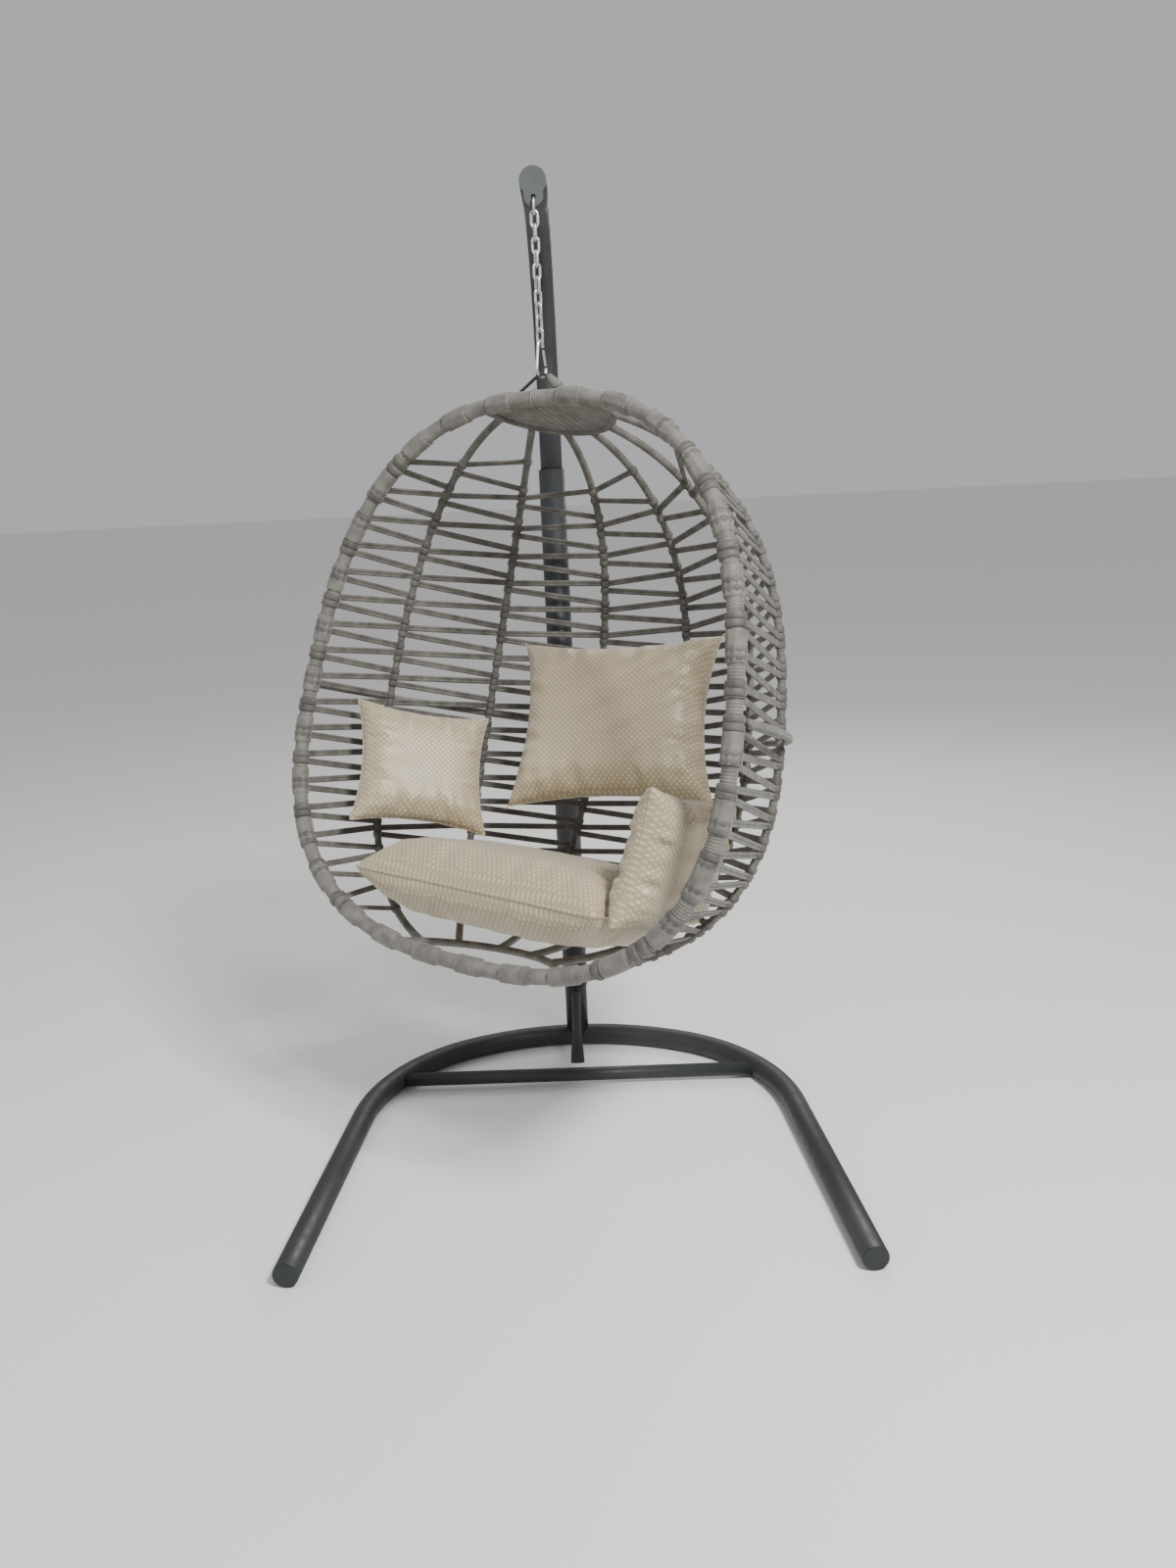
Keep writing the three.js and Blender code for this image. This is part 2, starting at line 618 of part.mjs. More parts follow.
// A filled cushion: wide, high and thick, with corners as square as `power` makes them.
// It is placed in the basket's frame and turned about x, then y, then z, in degrees.
function cushion(name, [wide, high, thick], power, place, turns) {
  const around = 28;
  const layers = 7;
  const rings = Array.from({ length: layers }, (_, i) => {
    const tilt = -PI / 2 + (PI * (i + 0.5)) / layers;
    const shrink = cos(tilt) ** 0.6;
    const height = sin(tilt) * thick / 2;
    return Array.from({ length: around }, (_, j) => {
      const angle = (2 * PI * j) / around;
      const x = sign(cos(angle)) * abs(cos(angle)) ** (2 / power);
      const y = sign(sin(angle)) * abs(sin(angle)) ** (2 / power);
      return V((wide / 2) * shrink * x, (high / 2) * shrink * y, height);
    });
  });
  const piece = mesh(name, skin(rings), SATIN_CREAM);
  piece.position.set(...place);
  piece.rotation.set(...turns.map(rad), 'ZYX');
  return piece;
}

function cushions() {
  return [
    cushion('seat_cushion', [590, 380, 155], 2.6, [-10, 192, -396], [0, 0, 0]),
    cushion('back_cushion', [440, 380, 130], 5, [12, 390, -30], [72, -8, 18]),
    cushion('arm_cushion_left', [300, 280, 90], 5, [-326, 180, -182], [68, 0, 55]),
    cushion('arm_cushion_right', [320, 260, 90], 5, [332, 165, -285], [100, 0, 92]),
  ];
}

// ---- assembly -----------------------------------------------------------------------

function stand() {
  return group('stand', baseTube(), endCap('end_cap_left', -1), endCap('end_cap_right', 1),
    crossbar(), post(), poleLower(), poleBolt(), poleNut(), poleBush(), poleUpper(), brace(),
    endPlate());
}

function basket() {
  const ribs = RIB_AZIMUTHS.map((_, i) => rib(i));
  const weaves = Array.from({ length: RIB_AZIMUTHS.length + 1 }, (_, i) => weave(i));
  return inEggFrame(rimTube(), ...rimWraps(), bar('crown_bar', CROWN_LEVEL, 16),
    bar('bottom_bar', -CROWN_LEVEL, 16), bar('belt_rod', BELT_LEVEL, 32, 2 * ROD + GAP),
    ...ribs, ...weaves, canopy(), ...cushions());
}

function chair() {
  const hung = group('chair', basket(), hanger());
  hung.position.y = -OVERHANG;
  hung.rotation.z = EGG_TURN;
  return hung;
}

const part = group('hanging_egg_chair', stand(), ...chain(), snapHook(), chair());

export default part;
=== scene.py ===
"""Hanging egg chair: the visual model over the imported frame. Metres, +Z up, floor at z = 0.

The stand is symmetric about x = 0 and stands on the origin. The chair hangs in front of
it, towards -Y. Basket pieces are made in the basket's own frame: x across, y into the
egg and z up the rim.
"""
import math

import bmesh
import bpy
import numpy as np
from mathutils import Matrix, Vector
from mathutils.bvhtree import BVHTree


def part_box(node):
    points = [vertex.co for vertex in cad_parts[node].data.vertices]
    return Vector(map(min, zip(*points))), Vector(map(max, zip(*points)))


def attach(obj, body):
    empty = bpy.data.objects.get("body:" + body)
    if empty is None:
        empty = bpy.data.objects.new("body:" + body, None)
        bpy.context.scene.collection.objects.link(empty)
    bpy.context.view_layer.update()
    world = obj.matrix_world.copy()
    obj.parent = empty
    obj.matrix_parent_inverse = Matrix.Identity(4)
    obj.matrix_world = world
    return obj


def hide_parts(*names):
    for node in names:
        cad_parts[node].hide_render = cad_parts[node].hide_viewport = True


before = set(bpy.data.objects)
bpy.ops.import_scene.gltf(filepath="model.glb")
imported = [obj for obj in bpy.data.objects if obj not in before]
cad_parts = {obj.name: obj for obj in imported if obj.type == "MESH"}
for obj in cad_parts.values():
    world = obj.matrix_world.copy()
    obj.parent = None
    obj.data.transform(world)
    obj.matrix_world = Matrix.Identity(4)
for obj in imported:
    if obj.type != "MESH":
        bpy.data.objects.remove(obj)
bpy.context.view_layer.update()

# ---- driving dimensions, the same as the CAD model's ---------------------------------------

BASE_LOW, BASE_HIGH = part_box("base_tube")
LOWER_LOW, LOWER_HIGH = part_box("pole_lower")
UPPER_LOW, UPPER_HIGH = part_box("pole_upper")
POST_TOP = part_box("post")[1].z
BAR_LOW, BAR_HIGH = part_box("crossbar")

BASE_RADIUS = (BASE_HIGH.z - BASE_LOW.z) / 2
REAR_RADIUS = 0.620
REAR_ANGLE = math.radians(25)
BEND_RADIUS = 0.400
LEG_SPLAY = math.radians(5)
FOOT = (0.539, -0.948)

POLE_LOWER_RADIUS = 0.030
POLE_UPPER_RADIUS = 0.025
POLE_BEND_RADIUS = 0.330
POST_RADIUS = 0.0275
CROSSBAR_RADIUS = 0.016

OVERHANG = 0.500          # how far the chair hangs in front of the pole's foot
EGG_TURN = math.radians(-36)
EGG_LEAN = math.radians(17.5)
EGG_SET_FORWARD = 0.181   # from the hanging point to the middle of the rim
EGG_HEIGHT = 1.062        # middle of the rim above the floor
EGG_DEPTH = 0.620
EGG_POWER = 2.6           # 2 would be an ellipse; more is squarer
RIM_HALF_WIDTH = 0.500
RIM_HALF_HEIGHT = 0.532
RIM_TAPER = 0.11          # share of its width that the rim loses from the middle to the top
DEPTH_TAPER = 0.08        # and the same for the basket's depth
RIM_WRAP = 0.016          # radius of the rim with its cord
ROD = 0.008               # radius of a rod with its cord
RIB_AZIMUTHS = [math.radians(a) for a in (29.5, 60, 85, 110, 136.7, 160.5)]

# Levels are shares of the half height: -1 is the bottom of the egg and 1 the top.
CROWN_LEVEL = 0.983
BELT_LEVEL = -0.068
WEAVE_LEVEL = 0.905       # the lacing ends here above, and as far below

CORD_WIDTH = 0.0105
CORD_PITCH = 0.056        # height of one turn of lacing
CORD_TURN = CORD_WIDTH + 0.003    # between two strands where the cord turns round a rod
STRAND_WIDTH = 0.0135     # a strand is two cords lying side by side
STRAND_THICK = 0.0045
WIRE = 0.0025             # radius of the chain's wire
# How far the hanger's feet stand behind its top, in the chair's own frame.
HANGER_SET_BACK = (RIM_HALF_HEIGHT * math.sin(EGG_LEAN) - EGG_SET_FORWARD) + 0.013

RIM_BAND = 0.055          # length of one band of cord on the rim
WRAP_PITCH = 0.0085       # one turn of the strip wound round a rod
CROWN_CORDS = 20
CROWN_FAN = math.radians(70)

CLOTH_MESH = 0.005        # mesh size of the cushions' cloth
AIR_FRAMES = 20
AIR_TRAVEL = 0.007        # how far the cloth may swell
PUCKER_HEIGHT = 0.0095
PUCKER_REACH = 0.34       # how far puckers run in, as a share of half the cushion
PUCKER_ROOM = 0.006       # thickness kept back for the puckers on each side
PIPING = 0.0035           # radius of the cord sewn round the seat's edge
SEAM = 0.0018             # radius of the plain seam round a pillow

CAMERA_PLACE = (0.0574, -2.871, 1.4225)
CAMERA_PITCH, CAMERA_ROLL, CAMERA_YAW = (math.radians(a) for a in (13.628, -2.841, -1.802))
FLOOR_REACH = 60

CHAIR = Matrix.Translation((0, -OVERHANG, 0)) @ Matrix.Rotation(EGG_TURN, 4, "Z")
EGG = (CHAIR @ Matrix.Translation((0, -EGG_SET_FORWARD, EGG_HEIGHT))
       @ Matrix.Rotation(-EGG_LEAN, 4, "X"))

# ---- camera, floor and light --------------------------------------------------------------


def camera():
    """Looks slightly down at the chair, rolled a little to one side."""
    data = bpy.data.cameras.new("camera")
    data.lens = 27.69
    data.sensor_width = 36
    data.shift_x = 0.0228
    data.shift_y = -0.0082
    view = bpy.data.objects.new("camera", data)
    bpy.context.scene.collection.objects.link(view)
    ahead = Vector((math.sin(CAMERA_YAW) * math.cos(CAMERA_PITCH),
                    math.cos(CAMERA_YAW) * math.cos(CAMERA_PITCH),
                    -math.sin(CAMERA_PITCH)))
    level = Vector((math.cos(CAMERA_YAW), -math.sin(CAMERA_YAW), 0))
    down = ahead.cross(level)
    right = level * math.cos(CAMERA_ROLL) - down * math.sin(CAMERA_ROLL)
    below = down * math.cos(CAMERA_ROLL) + level * math.sin(CAMERA_ROLL)
    turn = Matrix((right, -below, -ahead)).transposed().to_4x4()
    view.matrix_world = Matrix.Translation(CAMERA_PLACE) @ turn
    bpy.context.scene.camera = view


def area_light(name, place, target, size, power):
    """A square lamp of the given size, in metres and watts, aimed at a target."""
    data = bpy.data.lights.new(name, "AREA")
    data.size = size
    data.energy = power
    lamp = bpy.data.objects.new(name, data)
    lamp.location = place
    lamp.rotation_euler = (Vector(target) - Vector(place)).to_track_quat("-Z", "Y").to_euler()
    bpy.context.scene.collection.objects.link(lamp)


def studio():
    """Soft light from above on the right, weaker light from the left and behind."""
    world = bpy.data.worlds.new("studio")
    world.use_nodes = True
    background = world.node_tree.nodes["Background"]
    background.inputs["Color"].default_value = (0.97, 0.98, 1, 1)
    background.inputs["Strength"].default_value = 0.5
    bpy.context.scene.world = world
    middle = (0, -OVERHANG, 1)
    area_light("key", (1.5, -2.9, 3.6), middle, 0.7, 210)
    area_light("fill", (-3.0, -2.0, 2.0), middle, 3.0, 20)
    area_light("back", (0.8, 2.6, 3.0), middle, 2.0, 45)
    corners = [(x * FLOOR_REACH, y * FLOOR_REACH, 0) for x, y in ((-1, -1), (1, -1), (1, 1), (-1, 1))]
    floor = mesh_piece("floor", corners, [(0, 1, 2, 3)])
    floor.data.materials.append(surface("floor", (0.86, 0.85, 0.83), 0.9))


# ---- materials ----------------------------------------------------------------------------


def surface(name, colour, roughness, metallic=0.0, sheen=0.0):
    """A material with plain values, which the others build on."""
    look = bpy.data.materials.new(name)
    look.use_nodes = True
    shader = look.node_tree.nodes["Principled BSDF"]
    shader.inputs["Base Color"].default_value = (*colour, 1)
    shader.inputs["Roughness"].default_value = roughness
    shader.inputs["Metallic"].default_value = metallic
    shader.inputs["Sheen Weight"].default_value = sheen
    return look


def noise(look, scale, detail=4):
    """Uneven grain, from 0 to 1; a larger scale makes it finer."""
    nodes = look.node_tree.nodes
    where = nodes.new("ShaderNodeTexCoord")
    grain = nodes.new("ShaderNodeTexNoise")
    grain.inputs["Scale"].default_value = scale
    grain.inputs["Detail"].default_value = detail
    look.node_tree.links.new(where.outputs["Object"], grain.inputs["Vector"])
    return grain.outputs["Fac"]


def spread(look, source, low, high, socket):
    """Runs a 0 to 1 value between two numbers or colours into a shader socket."""
    tree = look.node_tree
    ramp = tree.nodes.new("ShaderNodeValToRGB")
    for stop, value in ((0, low), (1, high)):
        ramp.color_ramp.elements[stop].position = 0.3 + 0.4 * stop
        colour = value if isinstance(value, tuple) else (value,) * 3
        ramp.color_ramp.elements[stop].color = (*colour, 1)
    tree.links.new(source, ramp.inputs["Fac"])
    tree.links.new(ramp.outputs["Color"], tree.nodes["Principled BSDF"].inputs[socket])


def raise_up(look, source, distance, strength=1.0):
    """Raises the surface by up to a distance in metres where a 0 to 1 value is high."""
    tree = look.node_tree
    bump = tree.nodes.new("ShaderNodeBump")
    bump.inputs["Distance"].default_value = distance
    bump.inputs["Strength"].default_value = strength
    tree.links.new(source, bump.inputs["Height"])
    tree.links.new(bump.outputs["Normal"], tree.nodes["Principled BSDF"].inputs["Normal"])


def powder_coat(name, colour):
    """Baked paint with a fine orange-peel texture."""
    look = surface(name, colour, 0.5)
    spread(look, noise(look, 9), tuple(c * 0.85 for c in colour),
           tuple(c * 1.2 for c in colour), "Base Color")
    spread(look, noise(look, 40), 0.42, 0.58, "Roughness")
    raise_up(look, noise(look, 900, 2), 0.00015)
    return look


def plastic(name, colour):
    """Moulded plastic, slightly dull."""
    look = surface(name, colour, 0.55)
    spread(look, noise(look, 60), 0.48, 0.62, "Roughness")
    raise_up(look, noise(look, 1500, 2), 0.00006)
    return look


def galvanised(name):
    """Zinc-plated steel with cloudy patches."""
    look = surface(name, (0.62, 0.63, 0.62), 0.3, 1.0)
    spread(look, noise(look, 260), (0.45, 0.46, 0.45), (0.74, 0.75, 0.73), "Base Color")
    spread(look, noise(look, 400), 0.22, 0.42, "Roughness")
    return look


def cord_look(name, dark, light):
    """Plastic cord that varies between two colours along its length."""
    look = surface(name, light, 0.62, sheen=0.15)
    spread(look, noise(look, 38, 6), dark, light, "Base Color")
    spread(look, noise(look, 120), 0.52, 0.72, "Roughness")
    raise_up(look, noise(look, 1800, 3), 0.0002)
    return look


def stripes(look, turn, scale):
    """Bands across the piece's own x and y, turned by an angle."""
    tree = look.node_tree
    where = tree.nodes.new("ShaderNodeTexCoord")
    mapping = tree.nodes.new("ShaderNodeMapping")
    mapping.inputs["Rotation"].default_value[2] = turn
    bands = tree.nodes.new("ShaderNodeTexWave")
    bands.inputs["Scale"].default_value = scale
    tree.links.new(where.outputs["Object"], mapping.inputs["Vector"])
    tree.links.new(mapping.outputs["Vector"], bands.inputs["Vector"])
    return bands.outputs["Fac"]


def satin(name):
    """Cream satin with a small embossed diamond grid, its grooves painted darker as shade and its
    ridges painted lighter as light.
    """
    look = surface(name, (0.50, 0.42, 0.28), 0.36, sheen=0.3)
    tree = look.node_tree
    grid = tree.nodes.new("ShaderNodeMath")
    grid.operation = "MINIMUM"
    for socket, turn in zip(grid.inputs, (math.pi / 4, -math.pi / 4)):
        tree.links.new(stripes(look, turn, 38), socket)
    # Painted shade in the grid's grooves and painted light on its ridges, following the embossed
    # height.
    shaded_groove_colour, lit_ridge_colour = (0.38, 0.31, 0.195), (0.56, 0.475, 0.325)
    spread(look, grid.outputs["Value"], shaded_groove_colour, lit_ridge_colour, "Base Color")
    spread(look, noise(look, 25), 0.3, 0.44, "Roughness")
    raise_up(look, grid.outputs["Value"], 0.0008, 0.6)
    return look


# ---- mesh helpers -------------------------------------------------------------------------


def mesh_piece(name, points, faces):
    """A smooth-shaded object from points and faces, all faces turned outwards."""
    data = bpy.data.meshes.new(name)
    data.from_pydata([tuple(p) for p in points], [], faces)
    edit = bmesh.new()
    edit.from_mesh(data)
    bmesh.ops.recalc_face_normals(edit, faces=edit.faces)
    edit.to_mesh(data)
    edit.free()
    data.polygons.foreach_set("use_smooth", [True] * len(data.polygons))
    piece = bpy.data.objects.new(name, data)
    bpy.context.scene.collection.objects.link(piece)
    return piece


def unit(rows):
    return rows / np.maximum(np.linalg.norm(rows, axis=-1, keepdims=True), 1e-12)


def distances(path):
    return np.concatenate([[0], np.cumsum(np.linalg.norm(np.diff(path, axis=0), axis=1))])


def resample(path, spacing):
    """The same path with its points about `spacing` apart."""
    path = np.array(path, float)
    along = distances(path)
    even = np.linspace(0, along[-1], max(int(along[-1] / spacing), 2) + 1)
    return np.stack([np.interp(even, along, path[:, k]) for k in range(3)], axis=1)


def rings_along(path, outline, across, closed=False):
    """Points of an outline carried along a path. outline is (n, m, 2) or (m, 2)."""
    path = np.array(path, float)
    ahead = np.roll(path, -1, axis=0)
    behind = np.roll(path, 1, axis=0)
    if not closed:
        ahead[-1], behind[0] = path[-1], path[0]
    travel = unit(ahead - behind)
    right = unit(np.cross(np.broadcast_to(across, path.shape), travel))
    up = np.cross(travel, right)
    outline = np.broadcast_to(outline, (len(path), *np.shape(outline)[-2:]))
    return (path[:, None] + outline[..., :1] * right[:, None]
            + outline[..., 1:] * up[:, None])


def skin(rings, closed=False):
    """Faces over rows of points, with an end face at each end of an open row."""
    count, sides = rings.shape[:2]
    faces = []
    for i in range(count if closed else count - 1):
        here, following = i * sides, ((i + 1) % count) * sides
        for j in range(sides):
            k = (j + 1) % sides
            faces.append((here + j, here + k, following + k, following + j))
    if not closed:
        faces.append(tuple(range(sides))[::-1])
        faces.append(tuple((count - 1) * sides + j for j in range(sides)))
    return rings.reshape(-1, 3), faces


def ring_outline(radius, angles):
    """Points at the given angles; radius may change with angle and along the path."""
    return np.stack([radius * np.cos(angles), radius * np.sin(angles)], axis=-1)


def even_angles(sides):
    return np.arange(sides) * 2 * math.pi / sides


def circle(radius, sides):
    return ring_outline(radius, even_angles(sides))


def tube(name, path, radius, sides=24, across=(0, 0, 1), closed=False):
    """A round bar along a path. `across` is any direction the path doesn't run in."""
    rings = rings_along(path, circle(radius, sides), across, closed)
    return mesh_piece(name, *skin(rings, closed))


def joined(name, parts):
    """One piece from several (points, faces) pairs."""
    points, faces, start = [], [], 0
    for some_points, some_faces in parts:
        points.extend(some_points)
        faces.extend(tuple(i + start for i in face) for face in some_faces)
        start += len(some_points)
    return mesh_piece(name, points, faces)


def arc(centre, radius, start, end, steps, u, v):
    """Points of an arc in the plane of u and v, with angles counted from u towards v."""
    centre, u, v = (np.array(a, float) for a in (centre, u, v))
    angles = np.linspace(start, end, steps + 1)
    return [centre + radius * (math.cos(a) * u + math.sin(a) * v) for a in angles]


def into_egg(piece):
    """Moves a piece made in the basket's frame to its place, and leaves its origin at zero."""
    piece.data.transform(EGG)


def finish_piece(piece, look, slot, body, *nodes):
    """Gives a piece its material and body, and hides the nodes that it stands for."""
    piece.data.materials.append(look)
    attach(piece, body)
    if nodes:
        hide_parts(*nodes)
    return piece


# ---- stand --------------------------------------------------------------------------------


def arch_path(height):
    """The floor tube's centre line, from the left foot round the back to the right foot."""
    back, right = (0, 1, 0), (1, 0, 0)
    bend_centre = ((REAR_RADIUS - BEND_RADIUS) * math.sin(REAR_ANGLE),
                   -REAR_RADIUS + (REAR_RADIUS - BEND_RADIUS) * math.cos(REAR_ANGLE), height)
    rear = arc((0, -REAR_RADIUS, height), REAR_RADIUS, 0, REAR_ANGLE, 16, back, right)
    bend = arc(bend_centre, BEND_RADIUS, REAR_ANGLE, math.pi / 2 - LEG_SPLAY, 28, back, right)
    half = [*rear, *bend[1:], np.array((*FOOT, height))]
    mirrored = [p * (-1, 1, 1) for p in half[1:]][::-1]
    return mirrored + half


def stand(coat):
    """The floor tube with its crossbar, and the pole above it."""
    arch = tube("floor_tube", arch_path(BASE_RADIUS), BASE_RADIUS, 32)
    finish_piece(arch, coat, "powder_black", "stand", "base_tube")
    middle = (BAR_LOW.z + BAR_HIGH.z) / 2
    y = (BAR_LOW.y + BAR_HIGH.y) / 2
    bar = tube("floor_crossbar", [(BAR_LOW.x, y, middle), (BAR_HIGH.x, y, middle)],
               CROSSBAR_RADIUS, 24)
    finish_piece(bar, coat, "powder_black", "stand", "crossbar")
    along_x = (1, 0, 0)
    foot = tube("pole_post", [(0, 0, BASE_RADIUS), (0, 0, POST_TOP)], POST_RADIUS, 32, along_x)
    finish_piece(foot, coat, "powder_black", "stand", "post")
    lower = tube("pole_lower_tube", [(0, 0, LOWER_LOW.z), (0, 0, LOWER_HIGH.z)],
                 POLE_LOWER_RADIUS, 32, along_x)
    finish_piece(lower, coat, "powder_black", "stand", "pole_lower")
    axis = UPPER_HIGH.z - POLE_UPPER_RADIUS
    bend = arc((0, -POLE_BEND_RADIUS, axis - POLE_BEND_RADIUS), POLE_BEND_RADIUS,
               0, math.pi / 2, 40, (0, 1, 0), (0, 0, 1))
    upper = tube("pole_upper_tube", [(0, 0, UPPER_LOW.z), *bend, (0, UPPER_LOW.y, axis)],
                 POLE_UPPER_RADIUS, 32, along_x)
    finish_piece(upper, coat, "powder_black", "stand", "pole_upper")


# ---- chain --------------------------------------------------------------------------------


def link_piece(index, zinc):
    """A smooth oval link in the box of its CAD node."""
    node = f"chain_link_{index:02d}"
    low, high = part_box(node)
    centre = (low + high) / 2
    points = np.array([v.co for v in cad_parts[node].data.vertices], float)
    flat = points[:, :2] - points[:, :2].mean(axis=0)
    side = np.linalg.svd(flat, full_matrices=False)[2][0]
    side = np.array((side[0], side[1], 0))
    bow = np.abs(flat @ side[:2]).max() - WIRE
    straight = (high.z - low.z) / 2 - WIRE - bow
    up = np.array((0, 0, 1))
    path = (arc(np.array(centre) + up * straight, bow, 0, math.pi, 14, side, up)
            + arc(np.array(centre) - up * straight, bow, math.pi, 2 * math.pi, 14, side, up))
    piece = tube(f"link_{index:02d}_wire", path, WIRE, 14, np.cross(side, up), True)
    return finish_piece(piece, zinc, "zinc", "chain" if index else "top_link", node)


# ---- basket -------------------------------------------------------------------------------


def bulge(level):
    """Width of the egg at a level, as a share of its greatest width, before the taper."""
    return (1 - abs(level) ** EGG_POWER) ** (1 / EGG_POWER)


def shell(azimuth, level, outwards=0.0):
    """A point of the basket. Azimuth runs from the rim's right side, round the back, to its left."""
    across = RIM_HALF_WIDTH * bulge(level) * (1 - RIM_TAPER * level) + outwards
    deep = EGG_DEPTH * bulge(level) * (1 - DEPTH_TAPER * level) + outwards
    return np.array((across * math.cos(azimuth), deep * math.sin(azimuth),
                     RIM_HALF_HEIGHT * level))


def outward_at(azimuth, level):
    """The direction straight out of the basket at a point."""
    nudge = 0.01
    across = shell(azimuth + nudge, level) - shell(azimuth - nudge, level)
    upwards = shell(azimuth, level + nudge) - shell(azimuth, level - nudge)
    return unit(np.cross(across, upwards))


def rim_path(start, end, steps):
    """Points of the rim, with angles counted from its top towards the right."""
    points = []
    for angle in np.linspace(start, end, steps + 1):
        level = math.copysign(abs(math.cos(angle)) ** (2 / EGG_POWER), math.cos(angle))
        reach = math.copysign(abs(math.sin(angle)) ** (2 / EGG_POWER), math.sin(angle))
        points.append((RIM_HALF_WIDTH * reach * (1 - RIM_TAPER * level), 0,
                       RIM_HALF_HEIGHT * level))
    return points


def rim_wraps(look):
    """Bands of cord wound round the rim, and bands of cord laid along it, in turn."""
    names = ["upper_right", "lower_right", "lower_left", "upper_left"]
    strands, turn_pitch, relief, step = 8, 0.0055, 0.0014, 0.0012
    angles = even_angles(32)
    for i, name in enumerate(names):
        path = resample(rim_path(i * math.pi / 2, (i + 1) * math.pi / 2, 200), 0.0011)
        along = distances(path)[:, None]
        wound = (along // RIM_BAND) % 2 == 0
        coil = relief * np.abs(np.sin(math.pi * along / turn_pitch)) + 0 * angles
        laid = relief * (np.abs(np.sin(strands * angles / 2)) + 0.7) + 0 * along
        radius = RIM_WRAP - relief + np.where(wound, coil - step, laid + step)
        rings = rings_along(path, ring_outline(radius, angles), (0, 1, 0))
        piece = mesh_piece(f"rim_cord_{name}", *skin(rings))
        into_egg(piece)
        finish_piece(piece, look, "cord_pale", "chair", f"rim_wrap_{name}")


def wrapped_rod(name, path, across, look, node):
    """A rod with a strip of cord wound round it in a close helix."""
    relief = 0.0010
    path = resample(path, 0.0017)
    along = distances(path)[:, None]
    angles = even_angles(14)
    phase = along / WRAP_PITCH + angles / (2 * math.pi)
    radius = ROD - relief + relief * np.abs(np.sin(math.pi * phase)) ** 0.5
    piece = mesh_piece(name, *skin(rings_along(path, ring_outline(radius, angles), across)))
    into_egg(piece)
    finish_piece(piece, look, "corded_rod", "chair", node)


def hanger_sleeve(look):
    """Cord wound into a cone over the right leg of the hanger."""
    low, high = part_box("hanger")
    hook_y = (CHAIR.inverted() @ Vector((0, -OVERHANG, high.z))).y
    top = (0.016, hook_y, high.z - 0.008)
    foot = (0.043, hook_y + HANGER_SET_BACK, low.z + 0.004)
    top_radius, growth, relief, turn_pitch = 0.0045, 0.0065, 0.0009, 0.0042
    path = resample([top, foot], 0.0009)
    along = distances(path)[:, None]
    angles = even_angles(16)
    ridge = relief * np.abs(np.sin(math.pi * along / turn_pitch))
    radius = top_radius + growth * along / along[-1] + ridge + 0 * angles
    rings = rings_along(path, ring_outline(radius, angles), (0, 1, 0))
    piece = mesh_piece("hanger_sleeve", *skin(rings))
    piece.data.transform(CHAIR)
    finish_piece(piece, look, "cord_pale", "chair")


def basket_rods(look, pale):
    """The upright ribs, and the three rods that run round the basket."""
    for i, azimuth in enumerate(RIB_AZIMUTHS):
        tilts = np.linspace(-math.asin(CROWN_LEVEL), math.asin(CROWN_LEVEL), 90)
        path = [shell(azimuth, math.sin(t)) for t in tilts]
        wrapped_rod(f"rib_{i + 1}_corded", path, (1, 0, 0), look, f"rib_{i + 1}")
    for name, level, outwards, finish in (("crown_bar", CROWN_LEVEL, 0, look),
                                          ("bottom_bar", -CROWN_LEVEL, 0, look),
                                          ("belt_rod", BELT_LEVEL, 2 * ROD, pale)):
        path = [shell(a, level, outwards) for a in np.linspace(0.03, math.pi - 0.03, 90)]
        wrapped_rod(f"{name}_corded", path, (0, 0, 1), finish, name)


def strand_outline():
    """Two cords side by side: two rounded backs with a groove between them."""
    half, thick = STRAND_WIDTH / 2, STRAND_THICK / 2
    upper = [(1, 0.25), (0.86, 0.8), (0.5, 1), (0.15, 0.8), (0, 0.3),
             (-0.15, 0.8), (-0.5, 1), (-0.86, 0.8), (-1, 0.25)]
    lower = [(-x, -y) for x, y in upper]
    return np.array([(x * half, y * thick) for x, y in upper + lower])


def strand(start, end, azimuth):
    """A taut strand between two points of one bay, proud of the rods it passes."""
    path = resample([start, end], 0.012)
    outward = np.array([outward_at(azimuth, p[2] / RIM_HALF_HEIGHT) for p in path])
    return skin(rings_along(path, strand_outline(), outward))


def knot(azimuth, level):
    """Cord taken round a rod where a strand is tied to it."""
    radius = ROD if azimuth % math.pi else RIM_WRAP
    step = 0.004 / RIM_HALF_HEIGHT
    centre = shell(azimuth, level)
    travel = unit(shell(azimuth, level + step) - shell(azimuth, level - step))
    offsets = np.linspace(-1, 1, 5)
    path = [centre + travel * STRAND_WIDTH / 2 * t for t in offsets]
    swell = radius + STRAND_THICK * 0.6 * np.sqrt(1 - 0.8 * offsets ** 2)
    outline = swell[:, None, None] * circle(1, 12)[None]
    across = (1, 0, 0) if abs(travel[0]) < 0.8 else (0, 1, 0)
    return skin(rings_along(path, outline, across))


